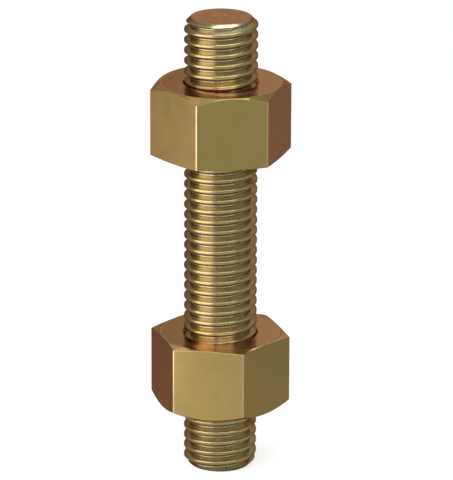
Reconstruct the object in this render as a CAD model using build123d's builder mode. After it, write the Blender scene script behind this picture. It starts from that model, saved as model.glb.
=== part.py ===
from build123d import *
import os
from math import ceil, radians, sqrt, tan

# A double ended stud: a stud threaded along its whole length, with a heavy hex nut run on from each end.
# Millimetres. +Z runs along the stud, and the origin is the middle of its lower end face.

# Stud, 5/8-11 UNC by 4 in
stud_length = 101.6
thread_diameter = 15.875
threads_per_inch = 11
flank_angle = 30.0  # each side of the thread, from a plane across the stud
end_chamfer = 1.4
thread_start_angle = 70.0  # where the groove's middle meets the lower end face

# Heavy hex nut
across_flats = 26.8
nut_height = 16.0
corner_radius = 0.4
outer_face_diameter = 26.4
outer_chamfer_angle = 30.0
bearing_face_diameter = 26.4
bearing_chamfer_angle = 8.0
countersink = 0.2
thread_clearance = 0.1  # from the stud's crests to the nut's bore

# Where the nuts stand on the stud
top_projection = 14.4
bottom_projection = 14.4
upper_nut_turn = 10.4
lower_nut_turn = 11.25

# The thread's section, with the standard's flat crest and root
thread_pitch = 25.4 / threads_per_inch
crest_width = thread_pitch / 8
root_width = thread_pitch / 6
thread_radius = thread_diameter / 2
flank_slope = tan(radians(flank_angle))
thread_depth = (thread_pitch - crest_width - root_width) / 2 / flank_slope
root_radius = thread_radius - thread_depth

os.makedirs("parts", exist_ok=True)


# One turn of the groove between the threads, cut wider and deeper than the crest so that it opens outwards
groove_overcut = thread_pitch / 10
mouth_radius = thread_radius + groove_overcut
mouth_width = thread_pitch - crest_width + 2 * groove_overcut * flank_slope

with BuildPart() as groove_turn:
    with BuildLine() as groove_path:
        Helix(thread_pitch, thread_pitch, root_radius)
    with BuildSketch(Plane.XZ):
        with BuildLine():
            Polyline(
                (root_radius, -root_width / 2),
                (mouth_radius, -mouth_width / 2),
                (mouth_radius, mouth_width / 2),
                (root_radius, root_width / 2),
                close=True,
            )
        make_face()
    sweep(path=groove_path.line, is_frenet=True)


# The stud: a bar with chamfered ends, and the groove cut round it turn above turn, past both ends
turns_past_each_end = 1
turn_count = ceil(stud_length / thread_pitch) + 2 * turns_past_each_end
turn_places = [
    Location((0, 0, (turn - turns_past_each_end) * thread_pitch), (0, 0, thread_start_angle))
    for turn in range(turn_count)
]

with BuildPart() as stud:
    with BuildSketch():
        Circle(thread_radius)
    extrude(amount=stud_length)
    chamfer(stud.edges().filter_by(GeomType.CIRCLE), end_chamfer)
    with Locations(*turn_places):
        add(groove_turn.part, mode=Mode.SUBTRACT)

stud.part.label = "stud"
export_step(stud.part, "parts/stud.step")


# A heavy hex nut standing on its bearing face: a hexagon bar, turned to its faces, chamfers and bore
bore_radius = thread_radius + thread_clearance
corner_reach = across_flats / sqrt(3)
bearing_face_radius = bearing_face_diameter / 2
outer_face_radius = outer_face_diameter / 2
bearing_rise = (corner_reach - bearing_face_radius) * tan(radians(bearing_chamfer_angle))
outer_drop = (corner_reach - outer_face_radius) * tan(radians(outer_chamfer_angle))

with BuildPart() as heavy_hex_nut:
    with BuildSketch():
        hexagon = RegularPolygon(across_flats / 2, 6, major_radius=False)
        fillet(hexagon.vertices(), corner_radius)
    extrude(amount=nut_height)
    with BuildSketch(Plane.XZ):
        with BuildLine():
            Polyline(
                (bore_radius + countersink, 0),
                (bearing_face_radius, 0),
                (corner_reach, bearing_rise),
                (corner_reach, nut_height - outer_drop),
                (outer_face_radius, nut_height),
                (bore_radius + countersink, nut_height),
                (bore_radius, nut_height - countersink),
                (bore_radius, countersink),
                close=True,
            )
        make_face()
    revolve(axis=Axis.Z, mode=Mode.INTERSECT)


# The upper nut bears downwards and the lower nut upwards, so that they clamp what lies between them
upper_bearing_height = stud_length - top_projection - nut_height
lower_bearing_height = bottom_projection + nut_height

with BuildPart() as upper_nut:
    with Locations(Location((0, 0, upper_bearing_height), (0, 0, upper_nut_turn))):
        add(heavy_hex_nut.part)

upper_nut.part.label = "upper_nut"
export_step(upper_nut.part, "parts/upper_nut.step")

with BuildPart() as lower_nut:
    with Locations(Location((0, 0, lower_bearing_height), (180, 0, lower_nut_turn))):
        add(heavy_hex_nut.part)

lower_nut.part.label = "lower_nut"
export_step(lower_nut.part, "parts/lower_nut.step")
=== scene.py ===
"""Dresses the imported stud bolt: a fully threaded stud and two heavy hex nuts, in glossy yellow zinc plate.

Everything is in metres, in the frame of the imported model: +Z along the stud, with the origin in the middle of its
lower end. Colours are linear.
"""

import math

import bmesh
import bpy
from mathutils import Euler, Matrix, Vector


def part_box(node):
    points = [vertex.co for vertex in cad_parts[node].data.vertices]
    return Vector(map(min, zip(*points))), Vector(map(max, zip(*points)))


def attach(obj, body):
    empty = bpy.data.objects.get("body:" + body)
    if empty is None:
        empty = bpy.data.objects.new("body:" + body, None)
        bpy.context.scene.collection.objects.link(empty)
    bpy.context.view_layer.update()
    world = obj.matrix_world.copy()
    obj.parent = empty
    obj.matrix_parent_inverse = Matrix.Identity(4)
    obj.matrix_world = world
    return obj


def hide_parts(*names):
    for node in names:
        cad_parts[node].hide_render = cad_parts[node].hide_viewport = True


MM = 0.001

# Thread, 5/8-11 UNC, where the part's source has it. The crest is broader than the source's flat one and the root
# narrower, and both are rounded.
PITCH = 25.4 / 11 * MM
THREAD_RADIUS = 15.875 / 2 * MM
CREST_WIDTH = PITCH / 4
ROOT_WIDTH = PITCH / 8
THREAD_DEPTH = (PITCH - CREST_WIDTH - ROOT_WIDTH) / 2 / math.tan(math.radians(30))
GROOVE_ANGLE = math.radians(70)  # where the groove's middle meets the lower end face
CREST_ROUNDING = 0.22 * MM
ROOT_ROUNDING = 0.12 * MM

# Ends of the stud
END_CHAMFER = 1.4 * MM
END_ROUNDING = 0.15 * MM
PAST_THREAD = 1 * MM  # how far the form that cuts the ends stands clear of the crests
PAST_ROUNDING = 0.01 * MM

# Heavy hex nut
ACROSS_FLATS = 26.8 * MM
CORNER_ROUNDING = 0.4 * MM
FACE_RADIUS = 13.2 * MM
OUTER_CHAMFER = math.radians(30)
BEARING_CHAMFER = math.radians(8)
COUNTERSINK_RADIUS = 8.2375 * MM
NUT_MINOR_RADIUS = 6.8 * MM
UPPER_NUT_TURN = math.radians(10.4)
LOWER_NUT_TURN = math.radians(-11.25)

# Roundings of the nut's section, corner by corner: out from the bore's lower end, up the flat and back in
NUT_ROUNDINGS = [0.02 * MM, 0.08 * MM, 0.1 * MM, 0.21 * MM, 0.03 * MM, 0.12 * MM, 0.08 * MM, 0.02 * MM]

# Clearance between the nut's thread and the stud's
RADIAL_CLEARANCE = 0.1 * MM
FLANK_CLEARANCE = 0.04 * MM

# Fineness of the meshes
AROUND = 120  # columns in one turn of a thread
ALONG_FLAT = 22
ROUND_CORNER = 8
WELD_DISTANCE = 0.002 * MM
SHARP_ANGLE = math.radians(32)

# The yellow zinc plate's colours, with light and shade painted into some of them
EDGE_ON_TINT = (0.74, 0.45, 0.43)
THREAD_EDGE_ON_TINT = (0.42, 0.30, 0.32)
# The grooves are painted lighter and the crests darker, as painted light and shade
GROOVE_GOLD_PAINTED_LIGHT = (0.61, 0.53, 0.33)
CREST_BROWN_PAINTED_SHADE = (0.54, 0.43, 0.21)
ROOT_SHADE = (0.76, 0.73, 0.70)
CUT_END_RED = (0.60, 0.41, 0.23)
TURNED_FACE = (0.66, 0.475, 0.25)
# Painted shade on one side of a turned face, and a painted reflection of the stud by its bore
TURNED_FACE_PAINTED_SHADE = (0.45, 0.34, 0.18)
PAINTED_STUD_REFLECTION = (0.86, 0.67, 0.57)
# Bright wear on corners and rings, which also serves as their painted highlight
WEAR_AND_HIGHLIGHT = (0.70, 0.56, 0.30)
# A painted dark line of rim shade
PAINTED_RIM_SHADE = (0.26, 0.18, 0.09)
OLIVE_CLOUD = (0.30, 0.29, 0.09)
RED_CLOUD = (0.42, 0.20, 0.10)
GRAIN = (0.12, 0.08, 0.03)

# The light and shade painted on each flat, as a lighter or darker tint a flat, from the nut's first corner round,
# and that corner's angle in degrees
UPPER_FLAT_LIGHT_AND_SHADE = (
    (0.50, 0.37, 0.13),
    (0.64, 0.424, 0.16),
    (0.474, 0.380, 0.127),
    (0.495, 0.318, 0.162),
    (0.48, 0.35, 0.13),
    (0.46, 0.36, 0.13),
)
UPPER_FIRST_CORNER = 130.4
LOWER_FLAT_LIGHT_AND_SHADE = (
    (0.275, 0.175, 0.078),
    (0.575, 0.41, 0.146),
    (0.395, 0.287, 0.107),
    (0.46, 0.32, 0.12),
    (0.44, 0.34, 0.12),
    (0.48, 0.34, 0.12),
)
LOWER_FIRST_CORNER = 168.8

# Light and shade painted round the stud's girth, darker on its left side: (turn from 0 to 1, tint)
STUD_GIRTH_LIGHT_AND_SHADE = (
    (0.00, (0.93, 0.88, 0.84)),
    (0.09, (1.00, 1.00, 1.00)),
    (0.24, (0.84, 0.90, 0.82)),
    (0.38, (1.00, 1.00, 1.00)),
    (0.53, (0.76, 0.62, 0.54)),
    (0.62, (0.84, 0.70, 0.59)),
    (0.665, (1.00, 0.98, 0.95)),
    (0.745, (0.95, 0.94, 0.93)),
    (0.80, (0.86, 0.92, 0.86)),
    (0.88, (1.00, 1.00, 0.95)),
    (0.945, (0.91, 0.80, 0.75)),
)

# Where the plate's colour and the light and shade painted into it change: the distance from the axis at which each
# change starts and ends
ROOT_RADII = (6.80 * MM, 6.95 * MM)
CREST_RADII = (7.45 * MM, 7.85 * MM)
STUD_REFLECTION_RADII = (10.5 * MM, 13.0 * MM)
CORNER_WEAR_AND_HIGHLIGHT_RADII = (15.33 * MM, 15.40 * MM)
PAINTED_SHADE_SIDE = (-12 * MM, 6 * MM)  # along x, from the painted shade on one side of a turned face to its unshaded side

# The front of a turned face, as turns from 0 to 1: its middle, and how far from it the front fades out
FRONT_MIDDLE = 0.755
FRONT_FADE = (0.07, 0.15)

# Rings on a turned face, in millimetres from the axis: a worn ring that also carries a painted highlight, and a
# ring of painted rim shade
WORN_HIGHLIGHT_RING = (12.95, 13.15)
RIM_SHADE_RING = (13.20, 13.42)
RING_BLUR = 0.04
RING_STRENGTH = 0.8

# Stage
FLOOR_SIZE = 8
FLOOR_HEIGHT = -0.02 * MM
FLOOR_GREY = (0.62, 0.62, 0.62)
FLOOR_GLOW = 0.64
AMBIENT_GREY = (0.38, 0.38, 0.38)
BACKDROP_LIGHT = (0.49, 0.45, 0.36)
BACKDROP_TOWARD = (0.17, 0.95, 0.26)
BACKDROP_REACH = (42, 20)  # degrees from its middle at which the backdrop's light starts, and is full
WHITE = (1, 1, 1)

# Softboxes: name, place, aim, width, height, radiance
SOFTBOXES = (
    ("key", (-0.40, -0.34, 0.30), (0, 0, 0.10), 0.62, 0.46, 1.2),
    ("overhead", (0.011, -0.020, 0.16), (0.0035, -0.0015, 0.10), 0.072, 0.030, 3.9),
    ("ceiling", (-0.10, 0.14, 0.60), (0, 0, 0.05), 0.24, 0.24, 0.3),
    ("behind", (0.05, 0.48, 0.43), (0, 0, 0.03), 0.34, 0.14, 1.1),
    ("front_fill", (0.36, -1.05, 0.66), (0, 0, 0.08), 1.30, 0.60, 2.6),
    ("left_low", (-0.082, -0.057, 0.052), (0, 0, 0.045), 0.115, 0.07, 1.75),
    ("left_foot", (-0.052, -0.036, 0.014), (0, 0, 0.014), 0.060, 0.026, 1.3),
    ("right_strip", (0.22, -0.30, 0.16), (0, 0, 0.05), 0.04, 0.30, 1.2),
)

# Camera
CAMERA_PLACE = (0, -0.8854, 0.3468)
CAMERA_AIM = (0.00129, 0, 0.05136)
CAMERA_ROLL = math.radians(0.198)
CAMERA_LENS = 322.76
CAMERA_SENSOR = 36
CAMERA_CLIP = (0.05, 20)


# --- Mesh helpers -------------------------------------------------------------------------------------------


def ray(angle):
    """The unit vector at an angle in the plane."""
    return Vector((math.cos(angle), math.sin(angle)))


def rounded(corners, roundings, steps):
    """The open line of (a, b) corners with each inner corner replaced by an arc of steps + 1 points."""
    points = [corners[0]]
    for before, corner, after, rounding in zip(corners, corners[1:], corners[2:], roundings):
        back = (Vector(before) - Vector(corner)).normalized()
        on = (Vector(after) - Vector(corner)).normalized()
        half_angle = back.angle(on) / 2
        tangent = rounding / math.tan(half_angle)
        centre = Vector(corner) + (back + on).normalized() * (rounding / math.sin(half_angle))
        start = Vector(corner) + back * tangent - centre
        end = Vector(corner) + on * tangent - centre
        sweep = start.angle(end)
        for step in range(steps + 1):
            share = step / steps
            arm = (start * math.sin((1 - share) * sweep) + end * math.sin(share * sweep)) / math.sin(sweep)
            points.append(tuple(centre + arm))
    points.append(corners[-1])
    return points


def new_object(name, vertices, faces):
    mesh = bpy.data.meshes.new(name)
    mesh.from_pydata(vertices, [], faces)
    mesh.validate()
    made = bpy.data.objects.new(name, mesh)
    bpy.context.scene.collection.objects.link(made)
    return made


def outward(obj):
    """Turns every face to look outwards."""
    work = bmesh.new()
    work.from_mesh(obj.data)
    bmesh.ops.recalc_face_normals(work, faces=work.faces)
    work.to_mesh(obj.data)
    work.free()


def apply_modifiers(obj):
    bpy.context.view_layer.update()
    seen = obj.evaluated_get(bpy.context.evaluated_depsgraph_get())
    mesh = bpy.data.meshes.new_from_object(seen)
    obj.modifiers.clear()
    obj.data = mesh


def weld(obj):
    """Closes up the slivers that a cut leaves where two edges nearly meet."""
    work = bmesh.new()
    work.from_mesh(obj.data)
    bmesh.ops.remove_doubles(work, verts=work.verts, dist=WELD_DISTANCE)
    bmesh.ops.dissolve_degenerate(work, edges=work.edges, dist=WELD_DISTANCE)
    work.to_mesh(obj.data)
    work.free()


def cut(obj, tool, operation):
    """Keeps what obj shares with tool, or takes tool away from it, and deletes the tool."""
    change = obj.modifiers.new("cut", "BOOLEAN")
    change.object = tool
    change.operation = operation
    change.solver = "EXACT"
    apply_modifiers(obj)
    bpy.data.objects.remove(tool)


def smooth(obj):
    """Shades obj smooth between its sharp edges, with the large faces kept flat."""
    obj.data.shade_smooth()
    obj.data.set_sharp_from_angle(angle=SHARP_ANGLE)
    weigh = obj.modifiers.new("weigh", "WEIGHTED_NORMAL")
    weigh.keep_sharp = True
    weigh.weight = 100
    apply_modifiers(obj)


# --- Thread -------------------------------------------------------------------------------------------------


def thread_section(radius, widen):
    """One pitch of the thread's outline as (height, radius), from the middle of one root to the next."""
    crest = CREST_WIDTH / 2 + widen
    root = ROOT_WIDTH / 2 - widen
    corners = [
        (-PITCH / 2, radius - THREAD_DEPTH),
        (-PITCH / 2 + root, radius - THREAD_DEPTH),
        (-crest, radius),
        (crest, radius),
        (PITCH / 2 - root, radius - THREAD_DEPTH),
        (PITCH / 2, radius - THREAD_DEPTH),
    ]
    roundings = [ROOT_ROUNDING, CREST_ROUNDING, CREST_ROUNDING, ROOT_ROUNDING]
    return rounded(corners, roundings, 3)[:-1]


def threaded_rod(name, section, low, high):
    """A rod with the section's thread, closed at both ends, from below low to above high."""
    first = math.floor(low / PITCH) - 2
    turns = math.ceil(high / PITCH) + 2 - first
    per_turn = len(section)
    rows = per_turn * turns + 1
    vertices, faces = [], []
    for column in range(AROUND):
        angle = 2 * math.pi * column / AROUND
        # The groove's middle is at height 0 at GROOVE_ANGLE, and rises one pitch a turn
        lead = PITCH * (angle - GROOVE_ANGLE) / (2 * math.pi) + PITCH / 2
        for row in range(rows):
            turn, place = divmod(row, per_turn)
            height, radius = section[place]
            z = (first + turn) * PITCH + lead + height
            vertices.append((radius * math.cos(angle), radius * math.sin(angle), z))
    for column in range(AROUND):
        beside = (column + 1) % AROUND
        # The last column joins the first one a turn higher up
        shift = per_turn if beside == 0 else 0
        for row in range(rows - 1):
            if row + 1 + shift < rows:
                here, there = column * rows + row, beside * rows + row + shift
                faces.append((here, there, there + 1, here + 1))
    rod = new_object(name, vertices, faces)
    close_ends(rod)
    return rod


def close_ends(obj):
    """Closes each open loop of the mesh with a fan to a point on the axis."""
    work = bmesh.new()
    work.from_mesh(obj.data)
    bmesh.ops.delete(work, geom=[v for v in work.verts if not v.link_faces], context="VERTS")
    middle = sum(v.co.z for v in work.verts) / len(work.verts)
    open_edges = [e for e in work.edges if len(e.link_faces) == 1]
    for side in (-1, 1):
        loop = [e for e in open_edges if (e.verts[0].co.z - middle) * side > 0]
        height = sum(e.verts[0].co.z for e in loop) / len(loop)
        tip = work.verts.new((0, 0, height))
        for edge in loop:
            work.faces.new((edge.verts[0], edge.verts[1], tip))
    bmesh.ops.recalc_face_normals(work, faces=work.faces)
    work.to_mesh(obj.data)
    work.free()


def turned_bar(name, outline):
    """A bar turned to the outline of (radius, height) points, whose ends are on the axis."""
    vertices, faces = [], []
    ring = outline[1:-1]
    for column in range(AROUND):
        angle = 2 * math.pi * column / AROUND
        vertices += [(r * math.cos(angle), r * math.sin(angle), z) for r, z in ring]
    vertices += [(0, 0, outline[0][1]), (0, 0, outline[-1][1])]
    low_tip, high_tip = len(vertices) - 2, len(vertices) - 1
    rows = len(ring)
    for column in range(AROUND):
        here, there = column * rows, (column + 1) % AROUND * rows
        for row in range(rows - 1):
            faces.append((here + row, there + row, there + row + 1, here + row + 1))
        faces.append((here, low_tip, there))
        faces.append((here + rows - 1, there + rows - 1, high_tip))
    bar = new_object(name, vertices, faces)
    outward(bar)
    return bar


def make_stud(low, high):
    """A rod threaded past both ends, then cut down to the length and chamfers of a turned bar."""
    stud = threaded_rod("threaded_stud", thread_section(THREAD_RADIUS, 0), low, high)
    end_radius = THREAD_RADIUS - END_CHAMFER
    past = THREAD_RADIUS + PAST_THREAD
    corners = [
        (0, low),
        (end_radius, low),
        (past, low + past - end_radius),
        (past, high - past + end_radius),
        (end_radius, high),
        (0, high),
    ]
    softened = rounded(corners, [END_ROUNDING, PAST_ROUNDING, PAST_ROUNDING, END_ROUNDING], 2)
    cut(stud, turned_bar("end_form", softened), "INTERSECT")
    weld(stud)
    smooth(stud)
    return stud


# --- Nuts ---------------------------------------------------------------------------------------------------


def hexagon_outline():
    """Points round the hexagon with rounded corners: more at the corners, where it turns."""
    corner_reach = ACROSS_FLATS / math.sqrt(3)
    centre_reach = corner_reach - CORNER_ROUNDING / math.cos(math.radians(30))
    points = []
    for side in range(6):
        corner = math.radians(60 * side)
        centre = ray(corner) * centre_reach
        arc = []
        for step in range(ROUND_CORNER + 1):
            turn = corner + math.radians(-30 + 60 * step / ROUND_CORNER)
            arc.append(centre + ray(turn) * CORNER_ROUNDING)
        after = math.radians(60 * (side + 1))
        flat_end = ray(after) * centre_reach + ray(after - math.radians(30)) * CORNER_ROUNDING
        points += arc
        points += [arc[-1].lerp(flat_end, step / ALONG_FLAT) for step in range(1, ALONG_FLAT)]
    return points


def nut_blank(name, height):
    """The nut before tapping, standing on its bearing face at height 0."""
    countersink_depth = COUNTERSINK_RADIUS - NUT_MINOR_RADIUS
    middle = (NUT_MINOR_RADIUS, height / 2)
    vertices, faces = [], []
    outline = hexagon_outline()
    for point in outline:
        reach = point.length
        rise = (reach - FACE_RADIUS) * math.tan(BEARING_CHAMFER)
        drop = (reach - FACE_RADIUS) * math.tan(OUTER_CHAMFER)
        corners = [
            middle,
            (NUT_MINOR_RADIUS, countersink_depth),
            (COUNTERSINK_RADIUS, 0),
            (FACE_RADIUS, 0),
            (reach, rise),
            (reach, height - drop),
            (FACE_RADIUS, height),
            (COUNTERSINK_RADIUS, height),
            (NUT_MINOR_RADIUS, height - countersink_depth),
            middle,
        ]
        section = rounded(corners, NUT_ROUNDINGS, 3)[:-1]
        angle = math.atan2(point.y, point.x)
        vertices += [(r * math.cos(angle), r * math.sin(angle), z) for r, z in section]
    rows = len(section)
    for column in range(len(outline)):
        here, there = column * rows, (column + 1) % len(outline) * rows
        for row in range(rows):
            above = (row + 1) % rows
            faces.append((here + row, there + row, there + above, here + above))
    return new_object(name, vertices, faces)


def make_nut(name, node, turn, upside_down):
    """The nut in its node's place, tapped where the stud's thread runs, with clearance all round."""
    low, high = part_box(node)
    nut = nut_blank(name, high.z - low.z)
    if upside_down:
        nut.data.transform(Euler((math.pi, 0, 0)).to_matrix().to_4x4())
    nut.data.transform(Euler((0, 0, turn)).to_matrix().to_4x4())
    lift = high.z if upside_down else low.z
    for vertex in nut.data.vertices:
        vertex.co.z += lift
    outward(nut)
    section = thread_section(THREAD_RADIUS + RADIAL_CLEARANCE, FLANK_CLEARANCE)
    cut(nut, threaded_rod("tap", section, low.z, high.z), "DIFFERENCE")
    smooth(nut)
    return nut


# --- Materials ----------------------------------------------------------------------------------------------


def color(r, g, b):
    return (r, g, b, 1.0)


class Nodes:
    """A short way to add nodes to a material or world and to join them."""

    def __init__(self, owner):
        owner.use_nodes = True
        self.tree = owner.node_tree
        self.tree.nodes.clear()

    def add(self, kind, inputs=None, **settings):
        node = self.tree.nodes.new(kind)
        for name, value in settings.items():
            setattr(node, name, value)
        for name, value in (inputs or {}).items():
            self.put(node.inputs[name], value)
        return node

    def put(self, socket, value):
        """Joins a socket to the value where that is another socket, or sets it to the value."""
        if isinstance(value, bpy.types.NodeSocket):
            self.tree.links.new(value, socket)
        else:
            socket.default_value = value

    def mix(self, factor, first, second, blend="MIX"):
        node = self.add("ShaderNodeMix", data_type="RGBA", blend_type=blend)
        self.put(node.inputs[0], factor)
        self.put(node.inputs[6], first)
        self.put(node.inputs[7], second)
        return node.outputs[2]

    def maths(self, operation, first, second=0.0):
        node = self.add("ShaderNodeMath", operation=operation)
        self.put(node.inputs[0], first)
        self.put(node.inputs[1], second)
        return node.outputs[0]

    def noise(self, vector, scale, detail=3.0, roughness=0.5):
        node = self.add("ShaderNodeTexNoise", {"Scale": scale, "Detail": detail, "Roughness": roughness})
        self.put(node.inputs["Vector"], vector)
        return node.outputs["Fac"]

    def rings(self, vector, scale, distortion):
        """Rings round the axis, as a lathe tool leaves."""
        node = self.add(
            "ShaderNodeTexWave",
            {"Scale": scale, "Distortion": distortion},
            wave_type="RINGS",
            rings_direction="Z",
        )
        self.put(node.inputs["Vector"], vector)
        return node.outputs["Fac"]

    def spread(self, value, low, high, to_low=0.0, to_high=1.0):
        """A smooth step from to_low, where value is low, to to_high, where it is high."""
        node = self.add("ShaderNodeMapRange", interpolation_type="SMOOTHSTEP")
        for place, number in enumerate((value, low, high, to_low, to_high)):
            self.put(node.inputs[place], number)
        return node.outputs[0]

    def ramp(self, value, stops, interpolation):
        """The colour that the (position, tint) stops give at the value."""
        node = self.add("ShaderNodeValToRGB")
        self.put(node.inputs[0], value)
        elements = node.color_ramp.elements
        node.color_ramp.interpolation = interpolation
        for number, (position, tint) in enumerate(stops):
            stop = elements[0] if number == 0 else elements.new(position)
            stop.position = position
            stop.color = color(*tint)
        while len(elements) > len(stops):
            elements.remove(elements[-1])
        return node.outputs[0]


def plate_shader(nodes, base, edge_on, roughness, bump):
    """Bright metal whose edge-on colour leans to red, as a thin chromate film does."""
    shader = nodes.add(
        "ShaderNodeBsdfPrincipled", {"Metallic": 1.0, "Base Color": base, "Roughness": roughness}
    )
    nodes.put(shader.inputs["Specular Tint"], edge_on)
    nodes.put(shader.inputs["Normal"], bump)
    nodes.add("ShaderNodeOutputMaterial", {"Surface": shader.outputs[0]})


def film(nodes, here, base):
    """The chromate film's cloudy blushes of olive and red, and its fine grain, over the base colour."""
    olive = nodes.spread(nodes.noise(here, 160.0, 3.0), 0.5, 0.75, 0.0, 0.22)
    red = nodes.spread(nodes.noise(here, 230.0, 3.0, 0.6), 0.55, 0.8, 0.0, 0.25)
    grain = nodes.spread(nodes.noise(here, 5000.0, 2.0), 0.3, 0.7, 0.0, 0.14)
    for amount, tint in ((olive, OLIVE_CLOUD), (red, RED_CLOUD), (grain, GRAIN)):
        base = nodes.mix(amount, base, color(*tint))
    return base


def skin(nodes, here, lines):
    """The plate's fine orange peel, with the marks of the tool that made the face."""
    peel = nodes.maths("MULTIPLY", nodes.noise(here, 1300.0, 3.0), 0.6)
    height = nodes.maths("ADD", peel, nodes.maths("MULTIPLY", lines, 0.4))
    bump = nodes.add("ShaderNodeBump", {"Strength": 0.10, "Distance": 0.04 * MM, "Height": height})
    return bump.outputs["Normal"]


def coordinates(nodes):
    """The place on the object, its x, its distance from the axis, its turn from 0 to 1, and how level it lies."""
    surface = nodes.add("ShaderNodeTexCoord")
    place = surface.outputs["Object"]
    split = nodes.add("ShaderNodeSeparateXYZ")
    nodes.put(split.inputs[0], place)
    x, y = split.outputs["X"], split.outputs["Y"]
    squares = nodes.maths("ADD", nodes.maths("MULTIPLY", x, x), nodes.maths("MULTIPLY", y, y))
    radius = nodes.maths("SQRT", squares)
    turns = nodes.maths("DIVIDE", nodes.maths("ARCTAN2", y, x), 2 * math.pi)
    turn = nodes.maths("FRACT", nodes.maths("ADD", turns, 1.0))
    facing = nodes.add("ShaderNodeSeparateXYZ")
    nodes.put(facing.inputs[0], surface.outputs["Normal"])
    level = nodes.maths("ABSOLUTE", facing.outputs["Z"])
    return place, x, radius, turn, level


def stud_plating():
    """Gold painted lighter in the grooves against their shade, browner on the crests as painted shade, with painted
    light and shade round the girth, and redder on the cut ends.
    """
    material = bpy.data.materials.new("stud_zinc")
    nodes = Nodes(material)
    place, _, radius, turn, level = coordinates(nodes)
    # The grooves' paler gold is painted light against their shade, and the crests' browner tone is painted shade.
    crest = nodes.spread(radius, *CREST_RADII)
    base = nodes.mix(crest, color(*GROOVE_GOLD_PAINTED_LIGHT), color(*CREST_BROWN_PAINTED_SHADE))
    root = nodes.spread(radius, *ROOT_RADII, 1.0, 0.0)
    base = nodes.mix(root, base, color(*ROOT_SHADE), "MULTIPLY")
    # Painted light and shade round the girth, darker on the left side.
    uneven = nodes.maths("MULTIPLY", nodes.noise(place, 60.0), 0.03)
    girth_light_and_shade = nodes.ramp(nodes.maths("ADD", turn, uneven), STUD_GIRTH_LIGHT_AND_SHADE, "EASE")
    base = nodes.mix(1.0, base, girth_light_and_shade, "MULTIPLY")
    cut_end = nodes.spread(level, 0.9, 0.98)
    base = nodes.mix(cut_end, base, color(*CUT_END_RED))
    bump = skin(nodes, place, nodes.rings(place, 900.0, 1.0))
    roughness = nodes.spread(nodes.noise(place, 500.0, 4.0), 0.3, 0.7, 0.20, 0.28)
    edge_on = nodes.mix(cut_end, color(*THREAD_EDGE_ON_TINT), color(*EDGE_ON_TINT))
    plate_shader(nodes, film(nodes, place, base), edge_on, roughness, bump)
    return material


def turned_face(nodes, x, radius, in_front):
    """Painted shade to one side, and a painted reflection of the stud by the bore in front."""
    # Painted shade on one side of the turned face.
    face = nodes.mix(nodes.spread(x, *PAINTED_SHADE_SIDE), color(*TURNED_FACE_PAINTED_SHADE), color(*TURNED_FACE))
    # A painted reflection of the stud on the turned face, in front of the bore.
    stud_reflection = nodes.maths("MULTIPLY", nodes.spread(radius, *STUD_REFLECTION_RADII, 1.0, 0.0), in_front)
    return nodes.mix(stud_reflection, face, color(*PAINTED_STUD_REFLECTION))


def face_rings(nodes, base, radius, level, in_front):
    """A ring at the edge of a turned face, worn and with a painted highlight, and round it a painted dark line of
    rim shade that turns to a painted highlight in front.
    """
    flat_top = nodes.spread(level, 0.97, 0.985)
    # The outer ring is a painted dark line of rim shade that turns to a painted highlight in front; the inner ring
    # is wear brightened into a painted highlight.
    rim_shade_and_highlight = nodes.mix(in_front, color(*PAINTED_RIM_SHADE), color(*WEAR_AND_HIGHLIGHT))
    for (low, high), tint in ((WORN_HIGHLIGHT_RING, color(*WEAR_AND_HIGHLIGHT)), (RIM_SHADE_RING, rim_shade_and_highlight)):
        inner = nodes.spread(radius, (low - RING_BLUR) * MM, (low + RING_BLUR) * MM)
        outer = nodes.spread(radius, (high - RING_BLUR) * MM, (high + RING_BLUR) * MM, 1.0, 0.0)
        ring = nodes.maths("MULTIPLY", nodes.maths("MULTIPLY", inner, outer), flat_top)
        base = nodes.mix(nodes.maths("MULTIPLY", ring, RING_STRENGTH), base, tint)
    return base


def nut_plating(name, flat_light_and_shade, first_corner):
    """Each flat's tint is painted light and shade; the corners are worn bright, which also paints their highlights,
    and the turned faces are redder.
    """
    material = bpy.data.materials.new(name)
    nodes = Nodes(material)
    place, x, radius, turn, level = coordinates(nodes)
    from_corner = nodes.maths("FRACT", nodes.maths("ADD", turn, 1 - first_corner / 360))
    # Each flat's tint is painted light and shade.
    painted_flats = nodes.ramp(from_corner, [(side / 6, tint) for side, tint in enumerate(flat_light_and_shade)], "CONSTANT")
    from_front = nodes.maths("ABSOLUTE", nodes.maths("SUBTRACT", turn, FRONT_MIDDLE))
    in_front = nodes.spread(from_front, *FRONT_FADE, 1.0, 0.0)
    turned = nodes.spread(level, 0.90, 0.97)
    base = nodes.mix(turned, painted_flats, turned_face(nodes, x, radius, in_front))
    base = face_rings(nodes, base, radius, level, in_front)
    # The corners' bright wear is real wear that also stands in for their painted highlights.
    uneven = nodes.maths("MULTIPLY", nodes.noise(place, 700.0), 0.04 * MM)
    wear_and_highlight = nodes.spread(nodes.maths("ADD", radius, uneven), *CORNER_WEAR_AND_HIGHLIGHT_RADII)
    rolled = nodes.maths("SUBTRACT", 1.0, turned)
    base = nodes.mix(nodes.maths("MULTIPLY", wear_and_highlight, rolled), base, color(*WEAR_AND_HIGHLIGHT))
    draw_lines = nodes.add("ShaderNodeMapping", {"Scale": (1.0, 1.0, 0.02)})
    nodes.put(draw_lines.inputs["Vector"], place)
    drawn = nodes.noise(draw_lines.outputs[0], 2200.0)
    bump = skin(nodes, place, nodes.mix(turned, drawn, nodes.rings(place, 700.0, 1.5)))
    roughness = nodes.spread(nodes.noise(place, 400.0, 4.0), 0.3, 0.7, 0.19, 0.23)
    plate_shader(nodes, film(nodes, place, base), color(*EDGE_ON_TINT), roughness, bump)
    return material


def dress(obj, material):
    obj.data.materials.clear()
    obj.data.materials.append(material)


# --- Stage --------------------------------------------------------------------------------------------------


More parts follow.
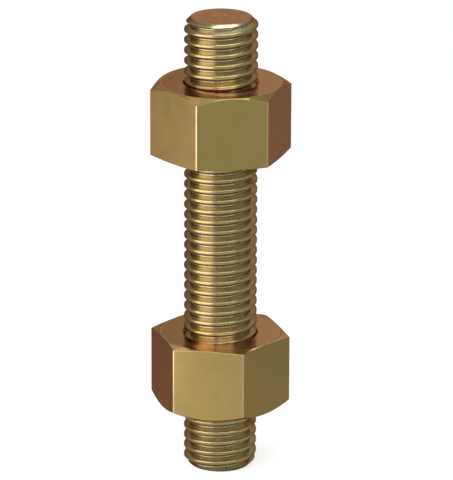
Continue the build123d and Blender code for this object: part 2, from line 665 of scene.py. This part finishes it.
def make_floor():
    """A pale floor, brightened for the camera alone: it shows white there and keeps the object's shadow.

    The metal doesn't see that brightening, only the floor as the lamps and the world light it.
    """
    bpy.ops.mesh.primitive_plane_add(size=FLOOR_SIZE, location=(0, 0, FLOOR_HEIGHT))
    floor = bpy.context.object
    floor.name = "floor"
    material = bpy.data.materials.new("pale_floor")
    nodes = Nodes(material)
    seen = nodes.add("ShaderNodeLightPath").outputs["Is Camera Ray"]
    surface = nodes.add("ShaderNodeBsdfDiffuse", {"Color": color(*FLOOR_GREY)})
    glow = nodes.add("ShaderNodeEmission", {"Color": color(*WHITE)})
    nodes.put(glow.inputs["Strength"], nodes.maths("MULTIPLY", seen, FLOOR_GLOW))
    both = nodes.add("ShaderNodeAddShader")
    nodes.put(both.inputs[0], surface.outputs[0])
    nodes.put(both.inputs[1], glow.outputs[0])
    nodes.add("ShaderNodeOutputMaterial", {"Surface": both.outputs[0]})
    dress(floor, material)


def make_world():
    """White for the camera alone. The object is lit by a plain grey, lighter and warmer behind it."""
    world = bpy.data.worlds.new("studio")
    bpy.context.scene.world = world
    nodes = Nodes(world)
    seen = nodes.add("ShaderNodeLightPath").outputs["Is Camera Ray"]
    place = nodes.add("ShaderNodeTexCoord").outputs["Generated"]
    toward = nodes.add("ShaderNodeVectorMath", operation="DOT_PRODUCT")
    nodes.put(toward.inputs[0], place)
    nodes.put(toward.inputs[1], Vector(BACKDROP_TOWARD).normalized())
    outer, inner = (math.cos(math.radians(reach)) for reach in BACKDROP_REACH)
    backdrop = nodes.spread(toward.outputs["Value"], outer, inner)
    ambient = nodes.mix(backdrop, color(*AMBIENT_GREY), color(*BACKDROP_LIGHT))
    shade = nodes.mix(seen, ambient, color(*WHITE))
    background = nodes.add("ShaderNodeBackground", {"Color": shade, "Strength": 1.0})
    nodes.add("ShaderNodeOutputWorld", {"Surface": background.outputs[0]})


def softbox(name, place, aim, width, height, radiance):
    """A rectangular lamp whose face shines with the given radiance."""
    light = bpy.data.lights.new(name, "AREA")
    light.shape = "RECTANGLE"
    light.size, light.size_y = width, height
    light.energy = radiance * math.pi * width * height
    lamp = bpy.data.objects.new(name, light)
    bpy.context.scene.collection.objects.link(lamp)
    lamp.location = place
    lamp.rotation_euler = (Vector(aim) - Vector(place)).to_track_quat("-Z", "Y").to_euler()
    lamp.visible_camera = False


def make_camera():
    data = bpy.data.cameras.new("camera")
    camera = bpy.data.objects.new("camera", data)
    bpy.context.scene.collection.objects.link(camera)
    data.sensor_width = CAMERA_SENSOR
    data.lens = CAMERA_LENS
    data.clip_start, data.clip_end = CAMERA_CLIP
    camera.location = CAMERA_PLACE
    facing = (Vector(CAMERA_AIM) - camera.location).to_track_quat("-Z", "Y").to_euler()
    facing.rotate_axis("Z", CAMERA_ROLL)
    camera.rotation_euler = facing
    bpy.context.scene.camera = camera


# --- The scene ----------------------------------------------------------------------------------------------

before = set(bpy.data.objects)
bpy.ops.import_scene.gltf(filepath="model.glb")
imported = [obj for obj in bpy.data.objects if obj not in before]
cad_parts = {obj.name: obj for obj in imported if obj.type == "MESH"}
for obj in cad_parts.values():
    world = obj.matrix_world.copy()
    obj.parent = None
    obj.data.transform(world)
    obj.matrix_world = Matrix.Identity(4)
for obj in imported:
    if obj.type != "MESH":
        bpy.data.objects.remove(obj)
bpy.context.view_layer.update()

make_camera()
make_world()
for row in SOFTBOXES:
    softbox(*row)
make_floor()

stud_low, stud_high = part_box("stud")
stud = make_stud(stud_low.z, stud_high.z)
upper_nut = make_nut("upper_heavy_hex_nut", "upper_nut", UPPER_NUT_TURN, False)
lower_nut = make_nut("lower_heavy_hex_nut", "lower_nut", LOWER_NUT_TURN, True)

dress(stud, stud_plating())
dress(upper_nut, nut_plating("upper_nut_zinc", UPPER_FLAT_LIGHT_AND_SHADE, UPPER_FIRST_CORNER))
dress(lower_nut, nut_plating("lower_nut_zinc", LOWER_FLAT_LIGHT_AND_SHADE, LOWER_FIRST_CORNER))

for piece, body, slot in (
    (stud, "stud", "stud_plating"),
    (upper_nut, "upper_nut", "nut_plating"),
    (lower_nut, "lower_nut", "nut_plating"),
):
    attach(piece, body)
    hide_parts(body)

bpy.context.scene.view_settings.view_transform = "Standard"
